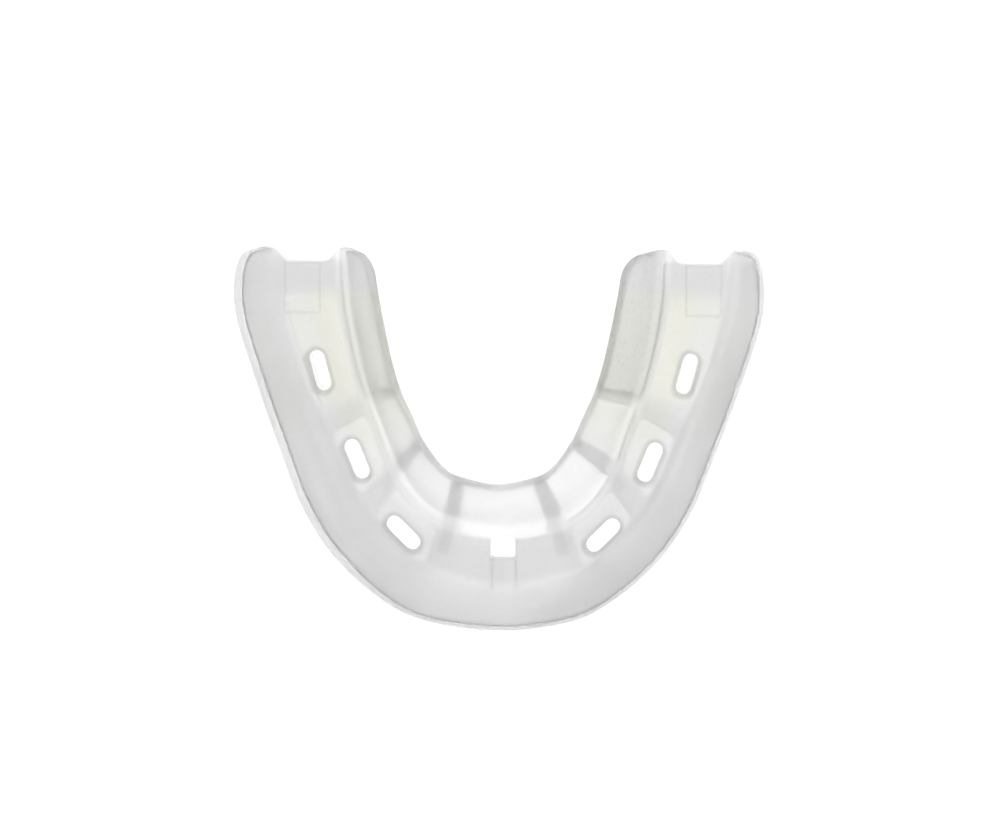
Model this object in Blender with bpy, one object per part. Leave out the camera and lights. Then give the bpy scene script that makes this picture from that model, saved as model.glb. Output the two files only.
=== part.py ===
"""Clear boil-and-bite mouthguard, lying on its bite face with the tooth trough facing up.

A firm outer frame carries the outer wall, a flat bite plate and six cross ribs. A soft liner fills it,
and a soft pad sits in each molar window of the plate. The front teeth are at -Y, and the legs end at +Y.
The origin is at the middle of the resting face. Lengths are in millimetres up to the last step, which
scales each mesh to metres.
"""

import math
from collections import namedtuple

import bmesh
import bpy
from mathutils import Vector

# Driving dimensions, in millimetres
LENGTH = 47.2
TO_METRES = 0.001
GAP = 0.3

# The arch, station by station from the front midline to the end of a leg. Each station is a straight cut
# across the trough: where it meets the outer rim and the inner rim, how high each rim stands, and how far
# the foot of each wall lies in from its rim. Odd stations run through a rib and even ones through a cell.
Station = namedtuple("Station", "outer_x outer_y inner_x inner_y outer_z inner_z outer_toe inner_toe")
STATIONS = (
    Station(0.0, 0.0, 0.0, 18.8, 11.8, 12.0, 4.2, 8.4),
    Station(9.5, 1.5, 4.9, 19.8, 14.2, 12.0, 4.5, 8.6),
    Station(15.1, 4.9, 7.0, 21.2, 15.0, 12.0, 4.9, 8.4),
    Station(20.6, 10.0, 9.2, 24.3, 14.6, 12.0, 5.4, 7.8),
    Station(24.4, 15.8, 10.6, 27.4, 13.8, 12.0, 5.7, 6.9),
    Station(27.0, 22.2, 11.9, 30.3, 12.9, 12.0, 5.5, 6.4),
    Station(29.75, 29.7, 13.1, 34.3, 12.1, 11.8, 5.0, 6.3),
    Station(32.9, 39.9, 14.5, 41.0, 11.4, 11.3, 5.3, 6.2),
    Station(32.8, LENGTH, 15.5, LENGTH, 11.0, 11.0, 4.4, 5.4),
)
LAST = len(STATIONS) - 1
STEPS_PER_STATION = 4
END_STEPS = (0.12, 0.06, 0.02)
FLOOR_END = 45.4
TIP_WIDTH = 2.6
TIP_ROUND = 3.0
TIP_TUCK_OUTER = 0.9
TIP_TUCK_INNER = 2.0
END_CURVE = 2.2
END_CURVE_POINTS = 24
FLOOR_PAST = 0.6
PLATE_PAST = 4.0

# Outer wall and rims
RIM = 1.25
RIM_ROUND = 0.4
BASE_INSET = 2.2
BASE_BULGE = 1.6
BASE_CHAMFER = 0.5
WALL_RINGS = (0.3, 0.6)
LIP_DROP = 1.6

# Layers
PLATE_TOP = 1.6
FLOOR_TOP = 3.3
LINER_EDGE = 0.6
LINER_FOOT = 1.2
TONGUE_WALL = 1.5
FILLET = 0.7

# Ribs, windows and holes. RIBS and WINDOWS are places along the arch, counted in stations.
RIBS = (1.0, 3.0, 5.0)
RIB_HALF = 0.2
FINGER_THICK = 1.1
FINGER_SHORT = 2.6
FINGER_BEHIND = 0.4
FINGER_DIP = 0.1
FRONT_NOTCH = 0.75
WINDOWS = ((1.3, 2.75), (3.25, 4.75), (5.25, 7.1))
WINDOW_INNER = 0.2
WINDOW_OUTER = -0.7
WINDOW_CORNER = 1.1
WINDOW_EASE = 0.18
WINDOW_NICK = 0.1
PAD_TRIM = (0.08, 0.06)
Slot = namedtuple("Slot", "x y lean")
SLOTS = (Slot(12.7, 10.8, 45.0), Slot(18.6, 20.2, 22.0), Slot(23.2, 31.5, 15.0))
SLOT_LOW = (2.0, 5.2)
SLOT_HIGH = (3.0, 6.4)
SLOT_POINTS = 16
VENT_WIDTH = 3.2
VENT_DEPTH = 2.8
VENT_Y = 9.2
CHANNEL_TOP = 0.9
CUT_MARGIN = 1.0
CUT_TOP = FLOOR_TOP + 3.0

CLEARNESS = 0.6

CLEAR_SHELL = ("clear_shell", (0.86, 0.87, 0.88, 1.0), 0.28)
CLEAR_LINER = ("clear_liner", (0.90, 0.91, 0.91, 1.0), 0.35)
MOLAR_PAD = ("molar_pad", (0.90, 0.89, 0.84, 1.0), 0.4)

Cut = namedtuple("Cut", "outer along width outer_z inner_z outer_toe inner_toe")


def between(before, low, high, after, part):
    """A smooth curve through low and high, read at part of the way between them."""
    straight = 2 * low + (high - before) * part
    bend = (2 * before - 5 * low + 4 * high - after) * part**2
    twist = (3 * low - before - 3 * high + after) * part**3
    return (straight + bend + twist) / 2


def station(index):
    """The station at a whole number, mirrored past the front and run on straight past the end."""
    if index < 0:
        other = STATIONS[-index]
        return other._replace(outer_x=-other.outer_x, inner_x=-other.inner_x)
    if index > LAST:
        last, previous = STATIONS[LAST], STATIONS[LAST - 1]
        return Station(*(2 * a - b for a, b in zip(last, previous)))
    return STATIONS[index]


def cut_at(place):
    """The cut across the trough at a place from -LAST (left end) to LAST (right end)."""
    side = -1 if place < 0 else 1
    index = min(int(abs(place)), LAST - 1)
    rows = [station(index + step) for step in (-1, 0, 1, 2)]
    here = Station(*(between(*values, abs(place) - index) for values in zip(*rows)))
    outer = Vector((side * here.outer_x, here.outer_y, 0))
    across = Vector((side * here.inner_x, here.inner_y, 0)) - outer
    past = max(0.0, outer.y - (LENGTH - TIP_ROUND))
    end_drop = TIP_ROUND - math.sqrt(max(0.0, TIP_ROUND**2 - past**2))
    outer_tuck = TIP_TUCK_OUTER * end_drop / TIP_ROUND
    inner_tuck = TIP_TUCK_INNER * end_drop / TIP_ROUND
    along = across.normalized()
    return Cut(
        outer + along * outer_tuck,
        along,
        across.length - outer_tuck - inner_tuck,
        here.outer_z - end_drop,
        here.inner_z - end_drop,
        here.outer_toe - outer_tuck,
        here.inner_toe - inner_tuck,
    )


def trough_face(cut, z):
    """How far in from the outer rim the tooth side of the outer wall lies, at a height."""
    return RIM + (cut.outer_toe - RIM) * (cut.outer_z - z) / (cut.outer_z - FLOOR_TOP)


def outside_face(cut, z):
    """How far in from the outer rim the outer wall's face lies. It bulges and tucks under at the foot."""
    return BASE_INSET * (1 - z / cut.outer_z) ** BASE_BULGE


def liner_back(cut, z):
    """Where the liner's hidden face lies behind the outer wall."""
    down = (cut.outer_z - LIP_DROP - z) / (cut.outer_z - LIP_DROP - FLOOR_TOP)
    return trough_face(cut, z) - LINER_EDGE - (LINER_FOOT - LINER_EDGE) * down


def tongue_face(cut, z):
    """Where the tongue side of the liner lies, from its foot up to the inner rim."""
    foot = cut.width - cut.inner_toe + TONGUE_WALL
    return foot + (cut.width - foot) * (z - PLATE_TOP) / (cut.inner_z - RIM_ROUND - PLATE_TOP)


def frame_outline(cut):
    top = cut.outer_z
    shelf = top - LIP_DROP
    plate_end = cut.width - cut.inner_toe + TONGUE_WALL
    low = PLATE_TOP + FILLET
    heights = (BASE_CHAMFER, *(top * part for part in WALL_RINGS))
    return [
        (BASE_INSET + BASE_CHAMFER, 0),
        *((outside_face(cut, z), z) for z in heights),
        (0, top - RIM_ROUND),
        (RIM_ROUND, top),
        (RIM - RIM_ROUND, top),
        (trough_face(cut, top - RIM_ROUND), top - RIM_ROUND),
        (trough_face(cut, shelf), shelf),
        (liner_back(cut, shelf) - GAP, shelf),
        (liner_back(cut, low) - GAP, low),
        (liner_back(cut, low) - GAP + FILLET, PLATE_TOP),
        (plate_end - FILLET / 2, PLATE_TOP),
        (plate_end, PLATE_TOP - FILLET / 2),
        (plate_end - FILLET / 2, 0),
    ]


def liner_outline(cut):
    bottom = PLATE_TOP + GAP
    low = bottom + FILLET
    edge = cut.outer_z - LIP_DROP - GAP
    top = cut.inner_z
    foot = cut.width - cut.inner_toe
    return [
        (liner_back(cut, edge), edge),
        (liner_back(cut, low) + GAP / 3, low),
        (liner_back(cut, low) + GAP / 3 + FILLET, bottom),
        (tongue_face(cut, bottom) - FILLET, bottom),
        (tongue_face(cut, low), low),
        (cut.width, top - RIM_ROUND),
        (cut.width - RIM_ROUND, top),
        (cut.width - RIM + RIM_ROUND, top),
        (cut.width - RIM, top - RIM_ROUND),
        (foot + FILLET / 2, FLOOR_TOP + FILLET),
        (foot - FILLET / 2, FLOOR_TOP),
        (cut.outer_toe + FILLET / 2, FLOOR_TOP),
        (trough_face(cut, FLOOR_TOP + FILLET), FLOOR_TOP + FILLET),
        (trough_face(cut, edge), edge),
    ]


def finger_outline(cut):
    """A rib's finger: rooted in the plate, it lies behind the liner's tongue face up to near the rim."""
    tip = cut.inner_z - FINGER_SHORT
    root = PLATE_TOP / 2
    outer_tip = min(tongue_face(cut, tip) + FINGER_BEHIND + FINGER_THICK / 2, cut.width)
    return [
        (tongue_face(cut, root) - 2 * FILLET, root / 2),
        (tongue_face(cut, root) + FINGER_BEHIND + FINGER_THICK, root / 2),
        (outer_tip, tip - FINGER_THICK / 3),
        (tongue_face(cut, tip) + FINGER_BEHIND, tip),
        (tongue_face(cut, PLATE_TOP) + FINGER_BEHIND, PLATE_TOP),
        (tongue_face(cut, PLATE_TOP) - 2 * FILLET, PLATE_TOP - FINGER_DIP),
    ]


def place_in_space(cut, across, z):
    point = cut.outer + cut.along * across
    return Vector((point.x, point.y - LENGTH / 2, z)) * TO_METRES


def new_object(name, bm):
    bmesh.ops.recalc_face_normals(bm, faces=bm.faces)
    mesh = bpy.data.meshes.new(name)
    bm.to_mesh(mesh)
    bm.free()
    made = bpy.data.objects.new(name, mesh)
    bpy.context.collection.objects.link(made)
    return made


def loft(name, rings):
    """A closed solid through rings of points that all have the same length."""
    bm = bmesh.new()
    rows = [[bm.verts.new(point) for point in ring] for ring in rings]
    for row, following in zip(rows, rows[1:]):
        for i in range(len(row)):
            j = (i + 1) % len(row)
            bm.faces.new((row[i], row[j], following[j], following[i]))
    bm.faces.new(rows[0])
    bm.faces.new(rows[-1])
    return new_object(name, bm)


def arch_body(name, outline):
    """A body that runs round the whole arch with the outline that each cut gives it."""
    half = [i / STEPS_PER_STATION for i in range(1, LAST * STEPS_PER_STATION)]
    half += [LAST - step for step in END_STEPS] + [LAST]
    places = [-place for place in reversed(half)] + [0] + half
    cuts = [cut_at(place) for place in places]
    return loft(name, [[place_in_space(cut, u, z) for u, z in outline(cut)] for cut in cuts])


def cell_block(name, places, low, high, inset=0.0):
    """A block over one cell's floor, with cut corners, between two heights."""
    first, last = places
    spread = (last - first) * WINDOW_EASE
    stops = (first, first + spread, (first + last) / 2, last - spread, last)
    narrow = (WINDOW_CORNER, 0, 0, 0, WINDOW_CORNER)
    rings = []
    for stop, corner in zip(stops, narrow):
        cut = cut_at(stop)
        start = cut.outer_toe + WINDOW_OUTER + inset + corner
        end = cut.width - cut.inner_toe - WINDOW_INNER - inset - corner
        rings.append([place_in_space(cut, u, z) for u, z in ((start, low), (end, low), (end, high), (start, high))])
    return loft(name, rings)


def front_notch():
    """Cuts the plate back to the wall's foot between the two front fingers."""
    rings = []
    for part in range(-STEPS_PER_STATION, STEPS_PER_STATION + 1):
        cut = cut_at(FRONT_NOTCH * part / STEPS_PER_STATION)
        start = cut.width - cut.inner_toe
        end = start + TONGUE_WALL + CUT_MARGIN
        corners = ((start, -CUT_MARGIN), (end, -CUT_MARGIN), (end, CUT_TOP), (start, CUT_TOP))
        rings.append([place_in_space(cut, u, z) for u, z in corners])
    return as_cutter(loft("front_notch", rings))


def stadium(size, lean, centre, z):
    """A ring of points round a slot with round ends, its long side leaning from +Y."""
    width, length = size
    straight = (length - width) / 2
    points = []
    for i in range(SLOT_POINTS):
        angle = 2 * math.pi * (i + 0.5) / SLOT_POINTS
        x = width / 2 * math.cos(angle)
        y = width / 2 * math.sin(angle) + math.copysign(straight, math.sin(angle))
        turned = Vector((x, y, 0))
        turned.rotate(Vector((0, 1, 0)).rotation_difference(Vector((math.sin(lean), math.cos(lean), 0))))
        points.append(Vector((centre[0] + turned.x, centre[1] + turned.y - LENGTH / 2, z)) * TO_METRES)
    return points


def slot_cutter(name, slot, side):
    lean = side * math.radians(slot.lean)
    centre = (side * slot.x, slot.y)
    levels = ((SLOT_LOW, -CUT_MARGIN), (SLOT_LOW, PLATE_TOP), (SLOT_HIGH, FLOOR_TOP), (SLOT_HIGH, CUT_TOP))
    return as_cutter(loft(name, [stadium(size, lean, centre, z) for size, z in levels]))


def end_cutter(name, side, past_floor):
    """Trims a leg's floor short of its walls, with an easy S-curve up to each wall's tip."""
    cut = cut_at(side * LAST)
    start = TIP_WIDTH
    end = cut.width - cut.inner_toe + past_floor
    angles = [math.pi * (i / END_CURVE_POINTS - 0.5) for i in range(END_CURVE_POINTS + 1)]
    across = [(start + end) / 2 + (end - start) / 2 * math.sin(angle) for angle in angles]
    reach = LENGTH - FLOOR_END
    edge = []
    for u in across:
        in_from_wall = min(1.0, min(u - start, end - u) / END_CURVE)
        edge.append((u, LENGTH - reach * (1 - math.cos(math.pi * in_from_wall)) / 2))
    outline = edge + [(end, LENGTH + CUT_MARGIN), (start, LENGTH + CUT_MARGIN)]
    rings = []
    for z in (-CUT_MARGIN, cut.outer_z + CUT_MARGIN):
        ring = [cut.outer + cut.along * u for u, _ in outline]
        rings.append([Vector((point.x, y - LENGTH / 2, z)) * TO_METRES for point, (_, y) in zip(ring, outline)])
    return as_cutter(loft(name, rings))


def box_cutter(name, low, high):
    corners = ((low[0], low[1]), (high[0], low[1]), (high[0], high[1]), (low[0], high[1]))
    rings = [[Vector((x, y - LENGTH / 2, z)) * TO_METRES for x, y in corners] for z in (low[2], high[2])]
    return as_cutter(loft(name, rings))


def as_cutter(helper):
    helper.hide_render = True
    helper.display_type = "WIRE"
    return helper


def combine(target, helper, operation):
    """Adds helper to target, or cuts it out."""
    modifier = target.modifiers.new(helper.name, "BOOLEAN")
    modifier.operation = operation
    modifier.object = helper


def give_material(target, look):
    name, colour, roughness = look
    material = bpy.data.materials.get(name) or bpy.data.materials.new(name)
    material.use_nodes = True
    shader = material.node_tree.nodes["Principled BSDF"]
    shader.inputs["Base Color"].default_value = colour
    shader.inputs["Roughness"].default_value = roughness
    shader.inputs["Metallic"].default_value = 0.0
    shader.inputs["Transmission Weight"].default_value = CLEARNESS
    target.data.materials.append(material)


def both_sides():
    return (("left", -1), ("right", 1))


def build():
    for old in list(bpy.data.objects):
        bpy.data.objects.remove(old)

    frame = arch_body("outer_frame", frame_outline)
    liner = arch_body("fit_liner", liner_outline)
    give_material(frame, CLEAR_SHELL)
    give_material(liner, CLEAR_LINER)

    for side_name, side in both_sides():
        for number, rib in enumerate(RIBS):
            cuts = [cut_at(side * (rib + RIB_HALF * step)) for step in (-1, 0, 1)]
            rings = [[place_in_space(cut, u, z) for u, z in finger_outline(cut)] for cut in cuts]
            combine(frame, as_cutter(loft(f"finger_{side_name}_{number}", rings)), "UNION")
        for number, places in enumerate(WINDOWS):
            ends = (side * places[0], side * places[1])
            window = cell_block(f"window_{side_name}_{number}", ends, -CUT_MARGIN, PLATE_TOP + WINDOW_NICK)
            combine(frame, as_cutter(window), "DIFFERENCE")

        combine(frame, end_cutter(f"plate_end_{side_name}", side, PLATE_PAST), "DIFFERENCE")
        combine(liner, end_cutter(f"floor_end_{side_name}", side, FLOOR_PAST), "DIFFERENCE")

        first, last = WINDOWS[-1]
        pad_ends = (side * (first + PAD_TRIM[0]), side * (last - PAD_TRIM[1]))
        pad = cell_block(f"molar_pad_{side_name}", pad_ends, 0, PLATE_TOP, GAP)
        give_material(pad, MOLAR_PAD)
        for number, slot in enumerate(SLOTS):
            cutter = slot_cutter(f"slot_{side_name}_{number}", slot, side)
            combine(liner, cutter, "DIFFERENCE")
            combine(pad if slot is SLOTS[-1] else frame, cutter, "DIFFERENCE")

    half = VENT_WIDTH / 2
    vent_start, vent_end = VENT_Y - VENT_DEPTH / 2, VENT_Y + VENT_DEPTH / 2
    hole = box_cutter("vent_hole", (-half, vent_start, -CUT_MARGIN), (half, vent_end, CUT_TOP))
    channel = box_cutter("vent_channel", (-half, -CUT_MARGIN, -CUT_MARGIN), (half, VENT_Y, CHANNEL_TOP))
    combine(liner, hole, "DIFFERENCE")
    combine(frame, hole, "DIFFERENCE")
    combine(frame, channel, "DIFFERENCE")
    combine(frame, front_notch(), "DIFFERENCE")


build()
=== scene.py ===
"""Looks of the clear mouthguard: fine meshes, clear plastic materials, floor, light and camera.

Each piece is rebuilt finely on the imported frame: a loft round the arch, cut by its holes, then remeshed
and smoothed so that every edge is rounded as a moulding's is. Shapes are worked out in millimetres and
scaled to metres when a mesh is made. The front teeth are at -Y, the legs end at +Y, +Z is out of the trough.
"""

import math
from collections import namedtuple

import bmesh
import bpy
import numpy as np
from mathutils import Matrix, Vector, noise


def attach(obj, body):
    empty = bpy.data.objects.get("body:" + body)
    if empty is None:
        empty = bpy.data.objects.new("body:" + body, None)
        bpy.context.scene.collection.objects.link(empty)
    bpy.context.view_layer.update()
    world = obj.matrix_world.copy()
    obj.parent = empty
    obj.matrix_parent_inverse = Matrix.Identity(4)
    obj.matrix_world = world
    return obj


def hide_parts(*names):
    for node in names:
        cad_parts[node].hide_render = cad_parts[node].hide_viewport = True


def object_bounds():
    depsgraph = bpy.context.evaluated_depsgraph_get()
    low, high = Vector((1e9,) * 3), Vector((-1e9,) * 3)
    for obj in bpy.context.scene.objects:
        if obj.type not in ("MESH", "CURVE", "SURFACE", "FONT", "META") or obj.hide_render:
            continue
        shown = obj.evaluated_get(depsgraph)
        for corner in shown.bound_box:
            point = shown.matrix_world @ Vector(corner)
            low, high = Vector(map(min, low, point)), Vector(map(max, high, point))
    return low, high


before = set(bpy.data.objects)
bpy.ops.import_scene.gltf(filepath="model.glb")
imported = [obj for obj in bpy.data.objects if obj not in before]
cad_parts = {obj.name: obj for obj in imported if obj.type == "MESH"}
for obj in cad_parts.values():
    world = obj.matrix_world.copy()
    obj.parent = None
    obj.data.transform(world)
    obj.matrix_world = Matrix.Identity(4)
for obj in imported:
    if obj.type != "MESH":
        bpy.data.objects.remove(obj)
CAD_LOW, CAD_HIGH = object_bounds()

TO_METRES = 0.001
LENGTH = (CAD_HIGH[1] - CAD_LOW[1]) / TO_METRES
GAP = 0.3

# The arch, station by station from the front midline to the end of a leg. Each station is a straight cut
# across the trough: where it meets the outer rim and the inner rim, how high each rim stands, and how far
# the foot of each wall lies in from its rim. Odd stations run through a rib and even ones through a cell.
Station = namedtuple("Station", "outer_x outer_y inner_x inner_y outer_z inner_z outer_toe inner_toe")
STATIONS = (
    Station(0.0, 0.0, 0.0, 18.8, 11.8, 12.0, 4.2, 8.4),
    Station(9.3, 1.7, 4.9, 19.8, 14.2, 12.0, 4.5, 8.6),
    Station(15.1, 4.9, 7.0, 21.2, 15.0, 12.0, 4.9, 8.4),
    Station(20.6, 10.0, 9.2, 24.3, 14.6, 12.0, 5.4, 7.8),
    Station(24.4, 15.8, 10.6, 27.4, 13.8, 12.0, 5.7, 6.9),
    Station(27.0, 22.2, 11.9, 30.3, 12.9, 12.0, 5.5, 6.4),
    Station(29.75, 29.7, 13.1, 34.3, 12.1, 11.8, 5.0, 6.3),
    Station(32.9, 39.9, 14.5, 41.0, 11.4, 11.3, 5.3, 6.2),
    Station(32.8, LENGTH, 15.5, LENGTH, 11.0, 11.0, 4.4, 5.4),
)
LAST = len(STATIONS) - 1
STEPS_PER_STATION = 12
END_STEPS = (0.04, 0.02, 0.008)
FLOOR_END = 45.4
TIP_WIDTH = 2.6
END_CURVE = 2.2
FLOOR_PAST = 0.6
PLATE_PAST = 4.0
TIP_ROUND = 3.0
TIP_TUCK_OUTER = 0.9
TIP_TUCK_INNER = 2.0
END_CURVE_POINTS = 24

# Outer wall and rims
RIM = 1.25
RIM_ROUND = 0.4
Seam = namedtuple("Seam", "rim drop edge")
SEAM_LEFT = Seam(0.85, 0.7, 0.4)
SEAM_RIGHT = Seam(0.48, 0.3, 0.28)
SEAM_GAP = 0.12
SEAM_SHIFT = 0.4
SEAM_SPREAD = 2
BASE_INSET = 2.2
BASE_BULGE = 1.6
BASE_CHAMFER = 0.5
WALL_POINTS = 10
ROUNDED_PART = 0.45

# Layers
PLATE_TOP = 1.6
FLOOR_TOP = 3.3
LINER_FOOT = 1.2
TONGUE_WALL = 1.5
FILLET = 0.7

# Ribs, windows and holes. RIBS and WINDOWS are places along the arch, counted in stations.
RIBS = (1.0, 3.0, 5.0)
RIB_HALF = 0.2
FINGER_RINGS = 3
FINGER_THICK = 1.1
FINGER_SHORT = 2.6
FINGER_INSET = 0.6
FRONT_NOTCH = 0.75
WINDOWS = ((1.3, 2.75), (3.25, 4.75), (5.25, 7.1))
WINDOW_INNER = 0.2
WINDOW_OUTER = -0.7
WINDOW_CORNER = 1.1
WINDOW_RINGS = 20
WINDOW_STRAIGHT = 0.7
PAD_TRIM = (0.05, 0.04)
Slot = namedtuple("Slot", "x y lean")
SLOTS = (Slot(12.7, 10.8, 45.0), Slot(18.6, 20.2, 22.0), Slot(23.2, 31.5, 15.0))
SLOT_LOW = (1.5, 4.8)
SLOT_HIGH = (3.0, 6.4)
SLOT_POINTS = 40
VENT_WIDTH = 3.2
VENT_DEPTH = 2.8
VENT_Y = 9.2
CHANNEL_TOP = 0.9
CUT_MARGIN = 1.0
CUT_ABOVE = 3
OVERLAP = 0.1

# Fine surface
VOXEL = 0.2
SMOOTH_STEPS = 7
WAVE = 0.012
WAVE_SCALES = (0.35, 0.9)
WAVE_FROM = 0.3

# Plastic: how much of the light goes straight through, with the rest scattered as by milky plastic, the two
# colours that it drifts between, and how strongly and to what colour it absorbs with thickness
Plastic = namedtuple("Plastic", "clearness pale deep density absorb")
SHELL = Plastic(0.92, (0.99, 0.99, 0.99, 1), (0.96, 0.96, 0.96, 1), 3.5, (0.0, 0.02, 0.03, 1))
LINER = Plastic(0.92, (0.99, 0.99, 0.99, 1), (0.96, 0.96, 0.96, 1), 3.5, (0.0, 0.02, 0.03, 1))
PAD = Plastic(0.98, (0.99, 0.99, 0.96, 1), (0.96, 0.96, 0.92, 1), 8.0, (0.0, 0.04, 0.2, 1))
IOR = 1.22
ROUGHNESS = 0.29
ROUGHNESS_RISE = 1.3
GRAIN = 0.05
GRAIN_DEPTH = 0.0002
CLOUD_SCALE = 90.0
MOTTLE_SCALE = 420.0
FINE_SCALE = 1600.0
BROAD_SCALE = 260.0
NOISE_RANGE = (0.3, 0.7)

# Light, in metres and watts: the floor is a white sheet that glows round the guard and fades farther out,
# under a bright sky
FLOOR_GLOW = 0.85
FAR_GLOW = 0.4
GLOW_REACH = (0.1, 0.4)
SKY_LOW = 0.92
SKY_TOP = 1.05
SKY_HEIGHTS = (0.5, 0.95)
FLOOR_HALF = 3.0
FLOOR_BELOW = 0.00002
FLOOR_PALE = 0.42
FLOOR_DEEP = 0.38
FLOOR_ROUGHNESS = 0.9
FLOOR_CLOUD_SCALE = 3.0
Lamp = namedtuple("Lamp", "name place size power")
LAMPS = (Lamp("key", (-0.35, 0.25, 0.5), 0.3, 0.05), Lamp("fill", (0.4, -0.2, 0.5), 0.4, 0.02))

# Tone: painted shade in the plastic's colour: painted shadows of the ribs, and painted shade along the
# crease at the inner wall's foot, round the slot mouths, on the walls, darker on one side than the other,
# and over the trough floor and towards the leg ends, where the plastic is thicker. With it go a random
# speckle, a warm tint and a grey panel outline. A pair says where a grey sets in and where it is full: in
# stations along the arch, or in millimetres along Y or across the trough. The keys -1 and 1 are the left
# side and the right.
PLACES_PER_STATION = 24
OUTSIDE_COST = 4
LEG_TIP_Y = (41.5, 42.5)
# Painted shade towards the leg ends, where the plastic is thicker, on every piece
END_SHADE = 0.015
END_Y = (41.7, 42.7)
Shadow = namedtuple("Shadow", "run grey")
RIB_SHADOWS = {1.0: Shadow(3.2, 0.11), 3.0: Shadow(1.8, 0.08), 5.0: Shadow(1.2, 0.01)}
RIB_SHADOW_HALF = 0.75
RIB_SHADOW_SOFT = 0.7
RIB_SHADOW_EASE = 0.4
RIB_SHADOW_STOP = (1.5, 0.9)
Line = namedtuple("Line", "centre half soft")
# Painted shade along the crease at the foot of the inner wall, on the legs
FOOT_CREASE_SHADE = 0.04
FOOT_CREASE_LINE = Line(0.3, 0.6, 0.5)
FOOT_PLACES = (2.2, 3.2)
# Painted shade over the trough floor, where the plastic is thicker, lighter over the pads
TROUGH_FLOOR_SHADE = 0.13
FLOOR_ACROSS = (3.6, 5.2)
FLOOR_FROM_FOOT = (-0.6, 0.4)
PAD_RISE = (5.0, 5.5)
PAD_FALL = (6.9, 7.3)
PAD_LIFT = 0.6
# Painted shade on the left side's outer wall only
LEFT_WALL_SHADE = 0.06
LEFT_WALL_PLACES = (1.5, 3.0)
# Painted shade over the trough floor at the front shoulders, from the outer wall in to the inner wall's foot
SHOULDER_SHADE = 0.05
SHOULDER_RISE = (0.8, 1.3)
SHOULDER_FALL = (2.2, 3.2)
SHOULDER_ACROSS = (1.5, 4.0)
SHOULDER_FROM_FOOT = (-1.5, 0.0)
# Painted shade up the legs' inner walls, past the last rib and by the cell at station 4, darker on the right
INNER_WALL_SHADE = {-1: 0.15, 1: 0.22}
INNER_WALL_PLACES = (5.03, 5.25)
INNER_WALL_FROM_FOOT = (0.0, 0.8)
INNER_CELL_SHADE = {-1: 0.045, 1: 0.1}
INNER_CELL = Line(4.0, 0.8, 0.4)
# Painted shade at the foot of the outer wall along each leg, darker on the left
WALL_FOOT_SHADE = {-1: 0.04, 1: 0.015}
WALL_FOOT_ACROSS = (0.8, 3.5)
WALL_FOOT_FROM_FOOT = (-2.5, -0.5)
WALL_FOOT_Y = (39.5, 41.5)
WARMTH = 0.045
WARM_PLACES = (3.0, 4.5)
WARM_FROM_FOOT = (-4.5, -3.0)
# Painted shade in a ring round each slot's mouth
SLOT_RING_SHADE = 0.24
SLOT_RING = 0.5
SPECKLE = 0.05
SPECKLE_SCALES = (1.9, 3.7)
RIGHT_WALL_SPECKLE = 0.07
RIGHT_WALL_PLACES = (4.2, 5.2)
PANEL_GREY = 0.2
PANEL_DEEP = 0.08
PANEL_HALF = 0.12
PANEL_SOFT = 0.2
PANEL_X = 25.3
PANEL_Y = 42.2
PANEL_WIDTH = 4.4
PANEL_LENGTH = 6.4
FACING_UP = 0.7

# Camera, in metres and degrees: how far it leans from straight above, its distance, its lens and its aim
TILT_RIGHT = 4.5
TILT_BACK = 8.0
DISTANCE = 0.6
LENS = 172.0
SENSOR = 36.0
CLIP_START = 0.01
AIM = Vector((-0.0001, 0.0036, 0.006))

Cut = namedtuple("Cut", "outer along width outer_z inner_z outer_toe inner_toe seam")


def between(before, low, high, after, part):
    """A smooth curve through low and high, read at part of the way between them."""
    straight = 2 * low + (high - before) * part
    bend = (2 * before - 5 * low + 4 * high - after) * part**2
    twist = (3 * low - before - 3 * high + after) * part**3
    return (straight + bend + twist) / 2


def station(index):
    """The station at a whole number, mirrored past the front and run on straight past the end."""
    if index < 0:
        other = STATIONS[-index]
        return other._replace(outer_x=-other.outer_x, inner_x=-other.inner_x)
    if index > LAST:
        last, previous = STATIONS[LAST], STATIONS[LAST - 1]
        return Station(*(2 * a - b for a, b in zip(last, previous)))
    return STATIONS[index]


def cut_at(place):
    """The cut across the trough at a place from -LAST (left end) to LAST (right end)."""
    side = -1 if place < 0 else 1
    index = min(int(abs(place)), LAST - 1)
    rows = [station(index + step) for step in (-1, 0, 1, 2)]
    here = Station(*(between(*values, abs(place) - index) for values in zip(*rows)))
    outer = Vector((side * here.outer_x, here.outer_y, 0))
    across = Vector((side * here.inner_x, here.inner_y, 0)) - outer
    past = max(0.0, outer.y - (LENGTH - TIP_ROUND))
    end_drop = TIP_ROUND - math.sqrt(max(0.0, TIP_ROUND**2 - past**2))
    outer_tuck = TIP_TUCK_OUTER * end_drop / TIP_ROUND
    inner_tuck = TIP_TUCK_INNER * end_drop / TIP_ROUND
    along = across.normalized()
    leftward = min(1.0, max(0.0, -SEAM_SHIFT - place / SEAM_SPREAD))
    return Cut(
        outer + along * outer_tuck,
        along,
        across.length - outer_tuck - inner_tuck,
        here.outer_z - end_drop,
        here.inner_z - end_drop,
        here.outer_toe - outer_tuck,
        here.inner_toe - inner_tuck,
        Seam(*(right + (left - right) * leftward for left, right in zip(SEAM_LEFT, SEAM_RIGHT))),
    )


def trough_face(cut, z):
    """How far in from the outer rim the tooth side of the outer wall lies, at a height."""
    return cut.seam.rim + (cut.outer_toe - cut.seam.rim) * (cut.outer_z - z) / (cut.outer_z - FLOOR_TOP)


def outside_face(cut, z):
    """How far in from the outer rim the outer wall's face lies. It bulges and tucks under at the foot."""
    return BASE_INSET * (1 - z / cut.outer_z) ** BASE_BULGE


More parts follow.
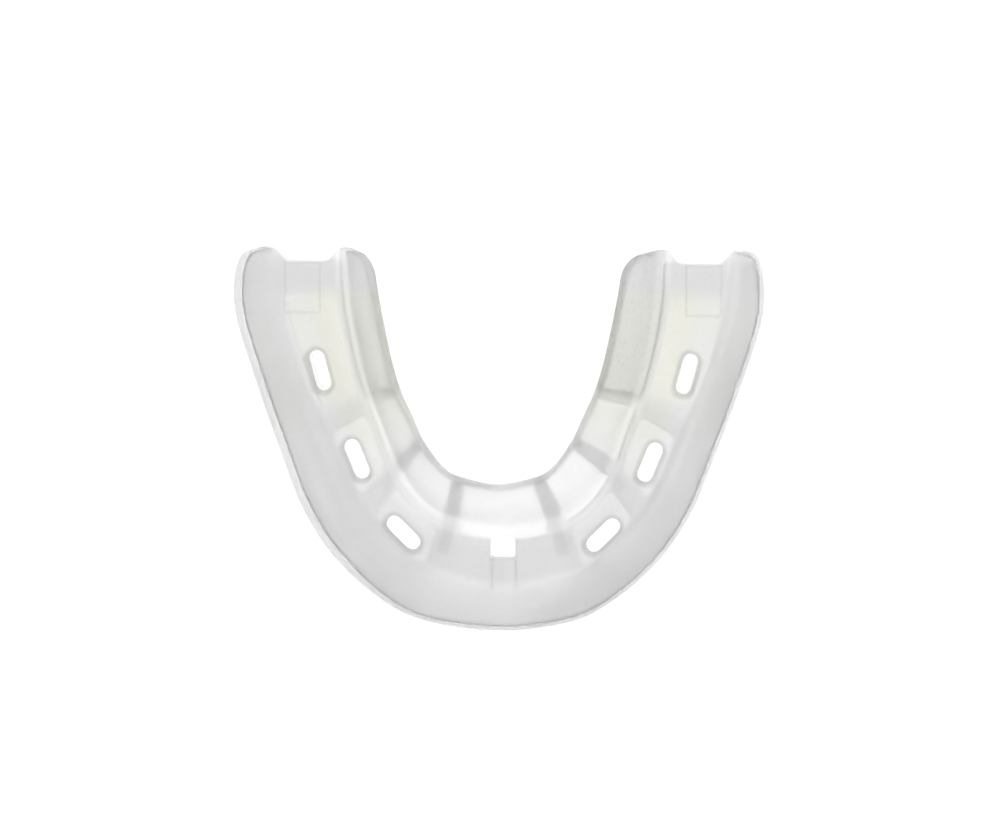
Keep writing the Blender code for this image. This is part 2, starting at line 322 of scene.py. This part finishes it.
def liner_back(cut, z):
    """Where the liner's hidden face lies behind the outer wall."""
    down = (cut.outer_z - cut.seam.drop - z) / (cut.outer_z - cut.seam.drop - FLOOR_TOP)
    return trough_face(cut, z) - cut.seam.edge - (LINER_FOOT - cut.seam.edge) * down


def tongue_face(cut, z):
    """Where the tongue side of the liner lies, from its foot up to the inner rim."""
    foot = cut.width - cut.inner_toe + TONGUE_WALL
    return foot + (cut.width - foot) * (z - PLATE_TOP) / (cut.inner_z - RIM_ROUND - PLATE_TOP)


def frame_outline(cut):
    top = cut.outer_z
    shelf = top - cut.seam.drop
    plate_end = cut.width - cut.inner_toe + TONGUE_WALL
    low = PLATE_TOP + FILLET
    wall = top - RIM_ROUND - BASE_CHAMFER
    heights = [BASE_CHAMFER + wall * i / WALL_POINTS for i in range(WALL_POINTS)]
    rounding = min(RIM_ROUND, cut.seam.rim * ROUNDED_PART)
    return [
        (BASE_INSET + BASE_CHAMFER, 0),
        *((outside_face(cut, z), z) for z in heights),
        (0, top - rounding),
        (rounding, top),
        (cut.seam.rim - rounding, top),
        (trough_face(cut, top - rounding), top - rounding),
        (trough_face(cut, shelf), shelf),
        (liner_back(cut, shelf) - SEAM_GAP, shelf),
        (liner_back(cut, low) - GAP, low),
        (liner_back(cut, low) - GAP + FILLET, PLATE_TOP),
        (plate_end - FILLET / 2, PLATE_TOP),
        (plate_end, PLATE_TOP - FILLET / 2),
        (plate_end - FILLET / 2, 0),
    ]


def liner_outline(cut):
    bottom = PLATE_TOP + GAP
    low = bottom + FILLET
    edge = cut.outer_z - cut.seam.drop - SEAM_GAP
    top = cut.inner_z
    foot = cut.width - cut.inner_toe
    return [
        (liner_back(cut, edge), edge),
        (liner_back(cut, low) + GAP / 3, low),
        (liner_back(cut, low) + GAP / 3 + FILLET, bottom),
        (tongue_face(cut, bottom) - FILLET, bottom),
        (tongue_face(cut, low), low),
        (cut.width, top - RIM_ROUND),
        (cut.width - RIM_ROUND, top),
        (cut.width - RIM + RIM_ROUND, top),
        (cut.width - RIM, top - RIM_ROUND),
        (foot + FILLET / 2, FLOOR_TOP + FILLET),
        (foot - FILLET / 2, FLOOR_TOP),
        (cut.outer_toe + FILLET / 2, FLOOR_TOP),
        (trough_face(cut, FLOOR_TOP + FILLET), FLOOR_TOP + FILLET),
        (trough_face(cut, edge), edge),
    ]


def finger_outline(cut):
    """A rib's finger: rooted in the plate, it lies behind the liner's tongue face up to near the rim."""
    tip = cut.inner_z - FINGER_SHORT
    root = PLATE_TOP / 2
    outer_tip = min(tongue_face(cut, tip) + GAP + FINGER_THICK / 2, cut.width - FINGER_INSET)
    return [
        (tongue_face(cut, root) - 2 * FILLET, root / 2),
        (tongue_face(cut, root) + GAP + FINGER_THICK, root / 2),
        (outer_tip, tip - FINGER_THICK / 3),
        (tongue_face(cut, tip) + GAP, tip),
        (tongue_face(cut, PLATE_TOP) + GAP, PLATE_TOP),
        (tongue_face(cut, PLATE_TOP) - 2 * FILLET, PLATE_TOP - OVERLAP),
    ]


def round_corners(outline, setback=0.5, steps=4):
    """The outline with each corner eased by a curve that starts up to setback before it."""
    eased = []
    for i, (x, z) in enumerate(outline):
        corner = Vector((x, z))
        ends = []
        for other in (outline[i - 1], outline[(i + 1) % len(outline)]):
            edge = Vector(other) - corner
            ends.append(corner + edge * min(ROUNDED_PART, setback / max(edge.length, 1e-6)))
        for step in range(steps + 1):
            part = step / steps
            point = ends[0] * (1 - part) ** 2 + corner * 2 * part * (1 - part) + ends[1] * part**2
            eased.append((point.x, point.y))
    return eased


def row_point(x, y, z):
    """A point in the row frame, in metres. It comes in millimetres, with y counted from the front."""
    return Vector((x, y - LENGTH / 2, z)) * TO_METRES


def in_space(cut, outline):
    """An outline of (in from the outer rim, height) pairs as points that lie in the cut."""
    feet = [cut.outer + cut.along * across for across, _ in outline]
    return [row_point(foot.x, foot.y, z) for foot, (_, z) in zip(feet, outline)]


def new_object(name, bm):
    bmesh.ops.recalc_face_normals(bm, faces=bm.faces)
    mesh = bpy.data.meshes.new(name)
    bm.to_mesh(mesh)
    bm.free()
    made = bpy.data.objects.new(name, mesh)
    bpy.context.scene.collection.objects.link(made)
    return made


def loft(name, rings):
    """A closed solid through rings of points that all have the same length."""
    bm = bmesh.new()
    rows = [[bm.verts.new(point) for point in ring] for ring in rings]
    for row, following in zip(rows, rows[1:]):
        for i in range(len(row)):
            j = (i + 1) % len(row)
            bm.faces.new((row[i], row[j], following[j], following[i]))
    bm.faces.new(rows[0])
    bm.faces.new(rows[-1])
    return new_object(name, bm)


def arch_body(name, outline):
    """A body that runs round the whole arch with the outline that each cut gives it."""
    half = [i / STEPS_PER_STATION for i in range(1, LAST * STEPS_PER_STATION)]
    half += [LAST - step for step in END_STEPS] + [LAST]
    places = [-place for place in reversed(half)] + [0] + half
    cuts = [cut_at(place) for place in places]
    return loft(name, [in_space(cut, round_corners(outline(cut))) for cut in cuts])


def cell_block(name, places, low, high, inset=0.0):
    """A block over one cell's floor, with round corners, between two heights."""
    first, last = places
    rings = []
    for i in range(WINDOW_RINGS + 1):
        swing = math.cos(math.pi * i / WINDOW_RINGS)
        stop = (first + last) / 2 - (last - first) / 2 * swing
        near_end = min(1.0, max(0.0, (abs(swing) - WINDOW_STRAIGHT) / (1 - WINDOW_STRAIGHT)))
        corner = WINDOW_CORNER * (1 - math.sqrt(1 - near_end**2))
        cut = cut_at(stop)
        start = cut.outer_toe + WINDOW_OUTER + inset + corner
        end = cut.width - cut.inner_toe - WINDOW_INNER - inset - corner
        rings.append(in_space(cut, ((start, low), (end, low), (end, high), (start, high))))
    return loft(name, rings)


def front_notch():
    """Cuts the plate back to the wall's foot between the two front fingers."""
    rings = []
    for part in range(-STEPS_PER_STATION, STEPS_PER_STATION + 1):
        cut = cut_at(FRONT_NOTCH * part / STEPS_PER_STATION)
        start = cut.width - cut.inner_toe
        end = start + TONGUE_WALL + CUT_MARGIN
        corners = ((start, -CUT_MARGIN), (end, -CUT_MARGIN), (end, FLOOR_TOP), (start, FLOOR_TOP))
        rings.append(in_space(cut, corners))
    return loft("front_notch", rings)


def stadium(size, lean, centre, z):
    """A ring of points round a slot with round ends, its long side leaning from +Y."""
    width, length = size
    straight = (length - width) / 2
    points = []
    for i in range(SLOT_POINTS):
        angle = 2 * math.pi * (i + 0.5) / SLOT_POINTS
        x = width / 2 * math.cos(angle)
        y = width / 2 * math.sin(angle) + math.copysign(straight, math.sin(angle))
        across = x * math.cos(lean) + y * math.sin(lean)
        up = y * math.cos(lean) - x * math.sin(lean)
        points.append(row_point(centre[0] + across, centre[1] + up, z))
    return points


def slot_cutter(name, slot, side):
    lean = side * math.radians(slot.lean)
    centre = (side * slot.x, slot.y)
    above = FLOOR_TOP + CUT_ABOVE
    levels = ((SLOT_LOW, -CUT_MARGIN), (SLOT_LOW, PLATE_TOP), (SLOT_HIGH, FLOOR_TOP), (SLOT_HIGH, above))
    return loft(name, [stadium(size, lean, centre, z) for size, z in levels])


def end_cutter(name, side, past_floor):
    """Trims a leg's floor short of its walls, with an easy S-curve up to each wall's tip."""
    cut = cut_at(side * LAST)
    start = TIP_WIDTH
    end = cut.width - cut.inner_toe + past_floor
    middle, half = (start + end) / 2, (end - start) / 2
    turns = [math.pi * i / (2 * END_CURVE_POINTS) for i in range(-END_CURVE_POINTS, END_CURVE_POINTS + 1)]
    across = [middle + half * math.sin(turn) for turn in turns]
    reach = LENGTH - FLOOR_END
    edge = []
    for u in across:
        in_from_wall = min(1.0, min(u - start, end - u) / END_CURVE)
        edge.append((u, LENGTH - reach * (1 - math.cos(math.pi * in_from_wall)) / 2))
    outline = edge + [(end, LENGTH + CUT_MARGIN), (start, LENGTH + CUT_MARGIN)]
    sides = [(cut.outer + cut.along * u).x for u, _ in outline]
    rings = []
    for z in (-CUT_MARGIN, cut.outer_z + CUT_MARGIN):
        rings.append([row_point(x, y, z) for x, (_, y) in zip(sides, outline)])
    return loft(name, rings)


def box_cutter(name, low, high):
    corners = ((low[0], low[1]), (high[0], low[1]), (high[0], high[1]), (low[0], high[1]))
    rings = [[row_point(x, y, z) for x, y in corners] for z in (low[2], high[2])]
    return loft(name, rings)


def combine(target, helpers, operation):
    """Adds each helper to target, or cuts it out."""
    for helper in helpers:
        modifier = target.modifiers.new(helper.name, "BOOLEAN")
        modifier.operation = operation
        modifier.solver = "MANIFOLD"
        modifier.object = helper


def settle(target):
    """Applies the modifiers by taking the mesh as it is evaluated."""
    graph = bpy.context.evaluated_depsgraph_get()
    made = bpy.data.meshes.new_from_object(target.evaluated_get(graph))
    target.modifiers.clear()
    old, target.data = target.data, made
    bpy.data.meshes.remove(old)


def ramp_up(value, start, end):
    """0 below start, 1 above end and a smooth rise between."""
    part = np.clip((value - start) / (end - start), 0, 1)
    return part * part * (3 - 2 * part)


def ramp_down(value, start, end):
    return 1 - ramp_up(value, start, end)


def band(distance, half, soft):
    """1 within half of a line, fading to 0 over soft."""
    return ramp_down(np.abs(distance), half - soft / 2, half + soft / 2)


def noise_at(spots, scale):
    return np.array([noise.noise(Vector(spot) * scale) for spot in spots])


def arch_places(spots):
    """Each spot's place along the arch, and how far in it lies from the outer rim and from the foot."""
    steps = PLACES_PER_STATION * LAST
    cuts = [cut_at(LAST * i / steps) for i in range(-steps, steps + 1)]
    at = np.stack([spots[:, 0], spots[:, 1] + LENGTH / 2], axis=1)
    best = np.full(len(spots), np.inf)
    place = np.zeros(len(spots))
    inward = np.zeros(len(spots))
    from_foot = np.zeros(len(spots))
    for number, cut in enumerate(cuts):
        apart = at - (cut.outer.x, cut.outer.y)
        across = apart @ (cut.along.x, cut.along.y)
        miss = np.abs(apart[:, 0] * cut.along.y - apart[:, 1] * cut.along.x)
        miss += OUTSIDE_COST * (np.maximum(0, -across) + np.maximum(0, across - cut.width))
        nearer = miss < best
        best[nearer] = miss[nearer]
        place[nearer] = LAST * (number - steps) / steps
        inward[nearer] = across[nearer]
        from_foot[nearer] = across[nearer] - (cut.width - cut.inner_toe)
    return place, inward, from_foot


def painted_rib_shadows(spots):
    """Painted shadows of the ribs, darker through the liner, across the tongue wall and out over the floor.
    """
    shade_and_tone = np.ones(len(spots))
    for rib, shadow in RIB_SHADOWS.items():
        for _, side in both_sides():
            cut = cut_at(side * rib)
            apart = spots[:, :2] - (cut.outer.x, cut.outer.y - LENGTH / 2)
            inward = apart @ (cut.along.x, cut.along.y)
            aside = apart[:, 0] * cut.along.y - apart[:, 1] * cut.along.x
            start = cut.width - cut.inner_toe - shadow.run
            reach = ramp_up(inward, start - RIB_SHADOW_EASE, start + RIB_SHADOW_EASE)
            reach *= ramp_down(inward, *(cut.width - short for short in RIB_SHADOW_STOP))
            shade_and_tone *= 1 - shadow.grey * band(aside, RIB_SHADOW_HALF, RIB_SHADOW_SOFT) * reach
    return shade_and_tone


def wall_shade(place, across, from_foot, y):
    """Painted shade on the walls and the floor between them, darker on one side than the other."""
    station_number = np.abs(place)
    # Painted shade along the crease at the foot of the inner wall, on the legs
    legs = ramp_up(station_number, *FOOT_PLACES) * ramp_down(y, *LEG_TIP_Y)
    shade_and_tone = 1 - FOOT_CREASE_SHADE * band(from_foot - FOOT_CREASE_LINE.centre, FOOT_CREASE_LINE.half, FOOT_CREASE_LINE.soft) * legs

    # Painted shade over the trough floor, lighter over the pads
    on_floor = ramp_up(across, *FLOOR_ACROSS)
    over_pad = ramp_up(station_number, *PAD_RISE) * ramp_down(station_number, *PAD_FALL)
    shade_and_tone *= 1 - TROUGH_FLOOR_SHADE * on_floor * ramp_down(from_foot, *FLOOR_FROM_FOOT) * (1 - PAD_LIFT * over_pad)
    # Painted shade on the left outer wall only
    shade_and_tone *= 1 - LEFT_WALL_SHADE * (1 - on_floor) * ramp_up(-place, *LEFT_WALL_PLACES)

    # Painted shade over the floor at the front shoulders
    shoulder = ramp_up(station_number, *SHOULDER_RISE) * ramp_down(station_number, *SHOULDER_FALL)
    shoulder *= ramp_up(across, *SHOULDER_ACROSS) * ramp_down(from_foot, *SHOULDER_FROM_FOOT)
    shade_and_tone *= 1 - SHOULDER_SHADE * shoulder

    # Painted shade up the legs' inner walls, darker on the right than on the left
    up_the_wall = ramp_up(from_foot, *INNER_WALL_FROM_FOOT)
    # Painted shade at the foot of the outer wall along each leg, darker on the left
    at_foot = ramp_up(across, *WALL_FOOT_ACROSS) * ramp_down(from_foot, *WALL_FOOT_FROM_FOOT)
    at_foot *= ramp_down(y, *WALL_FOOT_Y)
    for _, side in both_sides():
        along_leg = side * place
        in_cell = band(along_leg - INNER_CELL.centre, INNER_CELL.half, INNER_CELL.soft)
        shade_and_tone *= 1 - INNER_WALL_SHADE[side] * up_the_wall * ramp_up(along_leg, *INNER_WALL_PLACES)
        shade_and_tone *= 1 - INNER_CELL_SHADE[side] * up_the_wall * in_cell
        shade_and_tone *= 1 - WALL_FOOT_SHADE[side] * at_foot * (along_leg >= 0)
    return shade_and_tone


def slot_ring_shade(x, y):
    """A ring of painted shade round each slot's mouth."""
    shade_and_tone = np.ones(len(x))
    straight = (SLOT_HIGH[1] - SLOT_HIGH[0]) / 2
    for slot in SLOTS:
        lean = math.radians(slot.lean)
        along = (x - slot.x) * math.sin(lean) + (y - slot.y) * math.cos(lean)
        aside = (x - slot.x) * math.cos(lean) - (y - slot.y) * math.sin(lean)
        reach = np.hypot(aside, np.maximum(0, np.abs(along) - straight))
        shade_and_tone *= 1 - SLOT_RING_SHADE * band(reach, SLOT_HIGH[0] / 2, SLOT_RING)
    return shade_and_tone


def panel_line(x, y):
    """1 on the outline of the blank panel near a leg's tip."""
    past_x = np.abs(x - PANEL_X) - PANEL_WIDTH / 2
    past_y = np.abs(y - PANEL_Y) - PANEL_LENGTH / 2
    return band(np.maximum(past_x, past_y), PANEL_HALF, PANEL_SOFT)


def tone_and_push(spots, outward, is_liner):
    """A colour multiplier holding painted shade and a push along the normal per spot, from the shapes it
    lies on.
    """
    x, y = np.abs(spots[:, 0]), spots[:, 1] + LENGTH / 2
    # Painted shade towards the leg ends, on every piece
    grey = 1 - END_SHADE * ramp_up(y, *END_Y)
    if not is_liner:
        return np.stack([grey] * 3, axis=1), np.zeros(len(spots))

    place, across, from_foot = arch_places(spots)
    grey *= painted_rib_shadows(spots) * wall_shade(place, across, from_foot, y) * slot_ring_shade(x, y)
    speckle = noise_at(spots, SPECKLE_SCALES[0]) + noise_at(spots, SPECKLE_SCALES[1])
    on_right_wall = ramp_up(from_foot, *INNER_WALL_FROM_FOOT) * ramp_up(place, *RIGHT_WALL_PLACES)
    grey *= 1 - np.maximum(0, speckle) * (SPECKLE + RIGHT_WALL_SPECKLE * on_right_wall)
    line = panel_line(x, y) * (outward[:, 2] > FACING_UP)
    grey *= 1 - PANEL_GREY * line
    warm = ramp_up(np.abs(place), *WARM_PLACES) * ramp_up(from_foot, *WARM_FROM_FOOT)
    warm *= ramp_down(y, *LEG_TIP_Y)
    return np.stack([grey, grey, grey * (1 - WARMTH * warm)], axis=1), -PANEL_DEEP * line


def mould(target, is_liner):
    """Remeshes finely, rounds every edge and adds the faint waviness of a soft moulding."""
    remesh = target.modifiers.new("fine", "REMESH")
    remesh.mode = "VOXEL"
    remesh.voxel_size = VOXEL * TO_METRES
    smooth = target.modifiers.new("smooth", "SMOOTH")
    smooth.factor = 0.5
    smooth.iterations = SMOOTH_STEPS
    settle(target)
    count = len(target.data.vertices)
    spots = np.empty(count * 3)
    target.data.vertices.foreach_get("co", spots)
    spots = spots.reshape(-1, 3) / TO_METRES
    outward = np.empty(count * 3)
    target.data.vertices.foreach_get("normal", outward)
    outward = outward.reshape(-1, 3)
    shade_and_tone, push = tone_and_push(spots, outward, is_liner)
    wave = noise_at(spots, WAVE_SCALES[0]) + 0.5 * noise_at(spots, WAVE_SCALES[1])
    push += wave * WAVE * (spots[:, 2] > WAVE_FROM)
    moved = (spots + outward * push[:, None]) * TO_METRES
    target.data.vertices.foreach_set("co", moved.ravel())
    target.data.update()
    # The colour multiplier, which holds painted shade, is kept on the points as a colour attribute
    colours = target.data.attributes.new("shade_and_tone", "FLOAT_COLOR", "POINT")
    colours.data.foreach_set("color", np.hstack([shade_and_tone, np.ones((count, 1))]).ravel())
    target.data.shade_smooth()


class Nodes:
    """A short way to build a material's node tree."""

    def __init__(self, name):
        self.material = bpy.data.materials.new(name)
        self.material.use_nodes = True
        self.tree = self.material.node_tree
        self.shader = self.tree.nodes["Principled BSDF"]
        self.output = self.tree.nodes["Material Output"]

    def add(self, kind, **values):
        node = self.tree.nodes.new(kind)
        for key, value in values.items():
            if key in node.inputs:
                node.inputs[key].default_value = value
            else:
                setattr(node, key, value)
        return node

    def link(self, start, end):
        self.tree.links.new(start, end)


def noise_field(nodes, place, scale, detail):
    field = nodes.add("ShaderNodeTexNoise", Scale=scale, Detail=detail, Roughness=0.5)
    nodes.link(place, field.inputs["Vector"])
    return field.outputs["Fac"]


def spread(nodes, value, low, high):
    """The noise value, taken from its usual range to low..high."""
    node = nodes.add("ShaderNodeMapRange")
    node.inputs["From Min"].default_value = NOISE_RANGE[0]
    node.inputs["From Max"].default_value = NOISE_RANGE[1]
    node.inputs["To Min"].default_value = low
    node.inputs["To Max"].default_value = high
    nodes.link(value, node.inputs["Value"])
    return node.outputs["Result"]


def tint(nodes, value, first, second):
    """A colour that goes from first to second with the noise value."""
    node = nodes.add("ShaderNodeValToRGB")
    for stop, place, colour in zip(node.color_ramp.elements, NOISE_RANGE, (first, second)):
        stop.position = place
        stop.color = colour
    nodes.link(value, node.inputs["Fac"])
    return node.outputs["Color"]


def clear_plastic(name, plastic):
    """Clear moulded plastic: it transmits, greys with thickness and has a fine moulded grain."""
    nodes = Nodes(name)
    shader = nodes.shader
    shader.inputs["Metallic"].default_value = 0.0
    shader.inputs["IOR"].default_value = IOR
    shader.inputs["Transmission Weight"].default_value = plastic.clearness
    place = nodes.add("ShaderNodeTexCoord").outputs["Object"]

    cloud = noise_field(nodes, place, CLOUD_SCALE, 3.0)
    # The base colour is the cloud tint times the points' colour attribute, which holds painted shade
    shade_and_tone = nodes.add("ShaderNodeAttribute", attribute_name="shade_and_tone")
    shade = nodes.add("ShaderNodeVectorMath", operation="MULTIPLY")
    nodes.link(tint(nodes, cloud, plastic.pale, plastic.deep), shade.inputs[0])
    nodes.link(shade_and_tone.outputs["Color"], shade.inputs[1])
    nodes.link(shade.outputs["Vector"], shader.inputs["Base Color"])

    mottle = noise_field(nodes, place, MOTTLE_SCALE, 4.0)
    roughness = spread(nodes, mottle, ROUGHNESS, ROUGHNESS * ROUGHNESS_RISE)
    nodes.link(roughness, shader.inputs["Roughness"])

    fine = noise_field(nodes, place, FINE_SCALE, 3.0)
    broad = noise_field(nodes, place, BROAD_SCALE, 2.0)
    height = nodes.add("ShaderNodeMath", operation="ADD")
    nodes.link(fine, height.inputs[0])
    nodes.link(broad, height.inputs[1])
    bump = nodes.add("ShaderNodeBump", Strength=GRAIN, Distance=GRAIN_DEPTH)
    nodes.link(height.outputs[0], bump.inputs["Height"])
    nodes.link(bump.outputs["Normal"], shader.inputs["Normal"])

    volume = nodes.add("ShaderNodeVolumeAbsorption", Density=plastic.density, Color=plastic.absorb)
    nodes.link(volume.outputs["Volume"], nodes.output.inputs["Volume"])
    return nodes.material


def finish_piece(piece, material, node, slot):
    mould(piece, slot == "clear_liner")
    piece.data.materials.clear()
    piece.data.materials.append(material)
    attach(piece, "root")
    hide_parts(node)


def both_sides():
    return (("left", -1), ("right", 1))


def build_guard():
    body = arch_body("clear_frame", frame_outline)
    liner = arch_body("soft_liner", liner_outline)
    additions, frame_cuts, liner_cuts = [], [], []
    pads = []
    for side_name, side in both_sides():
        for number, rib in enumerate(RIBS):
            steps = range(-FINGER_RINGS, FINGER_RINGS + 1)
            cuts = [cut_at(side * (rib + RIB_HALF * step / FINGER_RINGS)) for step in steps]
            rings = [in_space(cut, finger_outline(cut)) for cut in cuts]
            additions.append(loft(f"finger_{side_name}_{number}", rings))
        for number, places in enumerate(WINDOWS):
            ends = (side * places[0], side * places[1])
            window = cell_block(f"window_{side_name}_{number}", ends, -CUT_MARGIN, PLATE_TOP + OVERLAP)
            frame_cuts.append(window)
        frame_cuts.append(end_cutter(f"plate_end_{side_name}", side, PLATE_PAST))
        liner_cuts.append(end_cutter(f"floor_end_{side_name}", side, FLOOR_PAST))
        first, last = WINDOWS[-1]
        pad_ends = (side * (first + PAD_TRIM[0]), side * (last - PAD_TRIM[1]))
        pad = cell_block(f"soft_molar_pad_{side_name}", pad_ends, 0, PLATE_TOP, GAP)
        for number, slot in enumerate(SLOTS):
            cutter = slot_cutter(f"slot_{side_name}_{number}", slot, side)
            liner_cuts.append(cutter)
            if slot is SLOTS[-1]:
                combine(pad, [cutter], "DIFFERENCE")
            else:
                frame_cuts.append(cutter)
        pads.append((pad, f"molar_pad_{side_name}"))

    half = VENT_WIDTH / 2
    vent_start, vent_end = VENT_Y - VENT_DEPTH / 2, VENT_Y + VENT_DEPTH / 2
    hole = box_cutter("vent_hole", (-half, vent_start, -CUT_MARGIN), (half, vent_end, FLOOR_TOP + CUT_ABOVE))
    channel = box_cutter("vent_channel", (-half, -CUT_MARGIN, -CUT_MARGIN), (half, VENT_Y, CHANNEL_TOP))
    frame_cuts += [hole, channel, front_notch()]
    liner_cuts.append(hole)

    combine(body, additions, "UNION")
    combine(body, frame_cuts, "DIFFERENCE")
    combine(liner, liner_cuts, "DIFFERENCE")
    for made in (body, liner, *(pad for pad, _ in pads)):
        settle(made)
    for helper in set(additions + frame_cuts + liner_cuts):
        bpy.data.objects.remove(helper)

    shell = clear_plastic("frosted_shell", SHELL)
    soft = clear_plastic("frosted_liner", LINER)
    warm = clear_plastic("frosted_pad", PAD)
    finish_piece(body, shell, "outer_frame", "clear_shell")
    finish_piece(liner, soft, "fit_liner", "clear_liner")
    for pad, node in pads:
        finish_piece(pad, warm, node, "molar_pad")


def plain(value):
    """A neutral grey, as a colour with alpha."""
    return (value, value, value, 1)


def floor_material():
    nodes = Nodes("pale_floor")
    nodes.shader.inputs["Roughness"].default_value = FLOOR_ROUGHNESS
    place = nodes.add("ShaderNodeTexCoord").outputs["Object"]
    cloud = noise_field(nodes, place, FLOOR_CLOUD_SCALE, 2.0)
    nodes.link(tint(nodes, cloud, plain(FLOOR_DEEP), plain(FLOOR_PALE)), nodes.shader.inputs["Base Color"])
    nodes.shader.inputs["Emission Color"].default_value = plain(1)
    reach = nodes.add("ShaderNodeVectorMath", operation="LENGTH")
    nodes.link(place, reach.inputs[0])
    fade = nodes.add("ShaderNodeMapRange", interpolation_type="SMOOTHSTEP")
    fade.inputs["From Min"].default_value = GLOW_REACH[0]
    fade.inputs["From Max"].default_value = GLOW_REACH[1]
    fade.inputs["To Min"].default_value = FLOOR_GLOW
    fade.inputs["To Max"].default_value = FAR_GLOW
    nodes.link(reach.outputs["Value"], fade.inputs["Value"])
    nodes.link(fade.outputs["Result"], nodes.shader.inputs["Emission Strength"])
    return nodes.material


def build_stage():
    bm = bmesh.new()
    bmesh.ops.create_grid(bm, x_segments=2, y_segments=2, size=FLOOR_HALF)
    floor = new_object("floor", bm)
    floor.location.z = CAD_LOW[2] - FLOOR_BELOW
    floor.data.materials.append(floor_material())

    world = bpy.data.worlds.new("studio")
    world.use_nodes = True
    tree = world.node_tree
    background = tree.nodes["Background"]
    place = tree.nodes.new("ShaderNodeTexCoord")
    split = tree.nodes.new("ShaderNodeSeparateXYZ")
    ramp = tree.nodes.new("ShaderNodeValToRGB")
    for stop, height, level in zip(ramp.color_ramp.elements, SKY_HEIGHTS, (SKY_LOW, SKY_TOP)):
        stop.position = height
        stop.color = plain(level)
    tree.links.new(place.outputs["Generated"], split.inputs[0])
    tree.links.new(split.outputs["Z"], ramp.inputs["Fac"])
    tree.links.new(ramp.outputs["Color"], background.inputs["Color"])
    background.inputs["Strength"].default_value = 1.0
    bpy.context.scene.world = world


def add_lamp(lamp):
    """A faint soft light that points at the origin and casts no shadow."""
    data = bpy.data.lights.new(lamp.name, "AREA")
    data.size = lamp.size
    data.energy = lamp.power
    data.use_shadow = False
    light = bpy.data.objects.new(lamp.name, data)
    light.location = lamp.place
    light.rotation_euler = (-Vector(lamp.place)).to_track_quat("-Z", "Y").to_euler()
    bpy.context.scene.collection.objects.link(light)


def build_camera():
    slopes = [math.tan(math.radians(tilt)) for tilt in (TILT_RIGHT, TILT_BACK)]
    toward = Vector((*slopes, 1)).normalized()
    right = Vector((0, 1, 0)).cross(toward).normalized()
    up = toward.cross(right)
    data = bpy.data.cameras.new("camera")
    data.lens = LENS
    data.sensor_width = SENSOR
    data.clip_start = CLIP_START
    camera = bpy.data.objects.new("camera", data)
    axes = Matrix((right, up, toward)).transposed()
    camera.matrix_world = Matrix.Translation(AIM + toward * DISTANCE) @ axes.to_4x4()
    bpy.context.scene.collection.objects.link(camera)
    bpy.context.scene.camera = camera


build_guard()
build_stage()
for lamp in LAMPS:
    add_lamp(lamp)
build_camera()
bpy.context.scene.view_settings.view_transform = "Standard"
